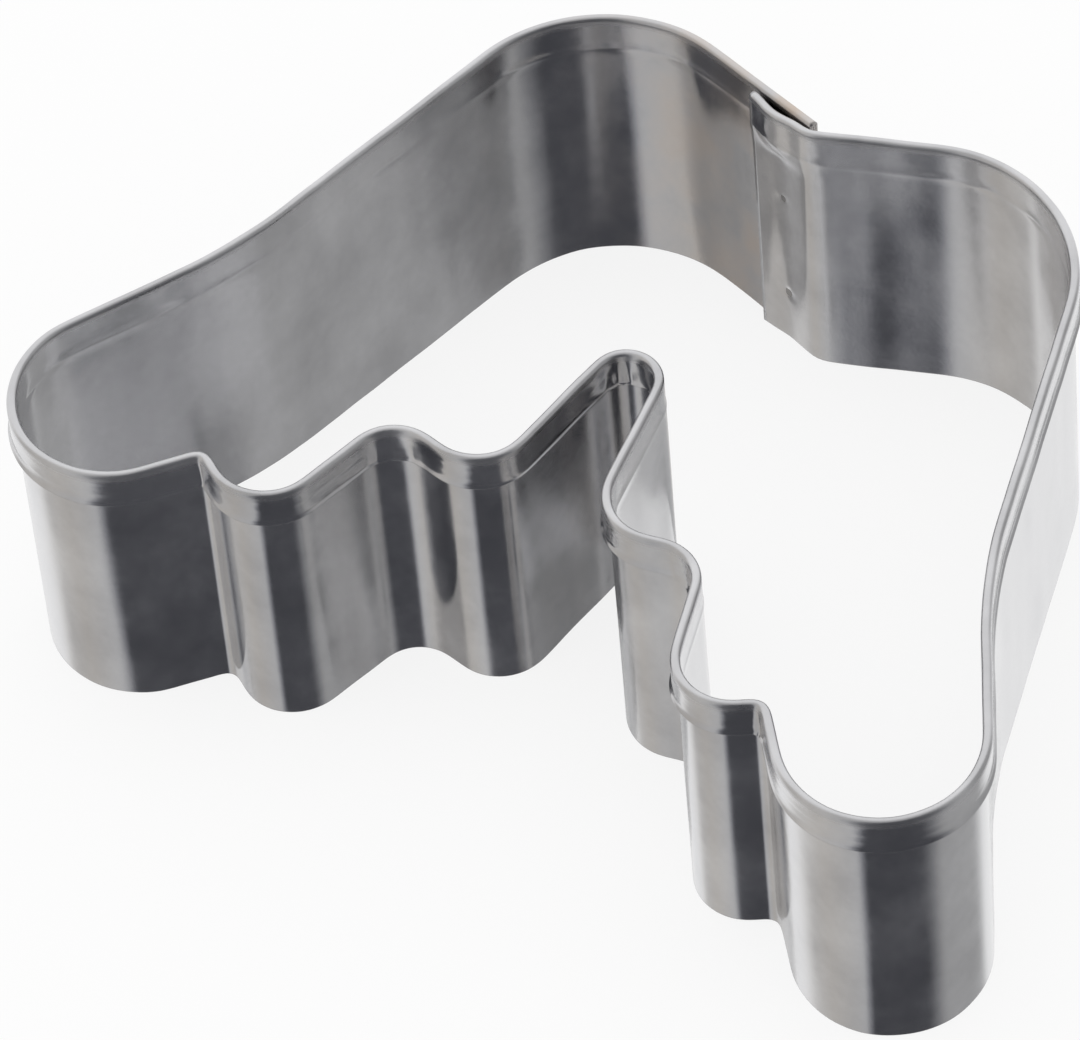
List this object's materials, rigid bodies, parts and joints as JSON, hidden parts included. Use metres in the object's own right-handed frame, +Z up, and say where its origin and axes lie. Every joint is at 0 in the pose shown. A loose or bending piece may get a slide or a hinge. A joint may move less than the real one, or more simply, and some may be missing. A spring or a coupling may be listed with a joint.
{
  "type": "cookie cutter",
  "caption": "Cookie cutter bent from one thin metal strip to the outline of a pair of spread wings, with a hemmed top edge and a welded lap seam.",
  "frame": {"origin": "centre of the outline on the plane of the cutting edge", "axes": "+X across both wings, +Y from the wing tips towards the lap seam, +Z up from the cutting edge to the hem"},
  "size_m": [0.0746, 0.0536, 0.025],
  "materials": {
    "band_steel": "polished, rolled sheet",
    "weld_steel": "matt, pressed by the welding tips"
  },
  "bodies": {
    "root": {"cutter_band": "band_steel", "spot_welds": "weld_steel"}
  },
  "joints": []
}
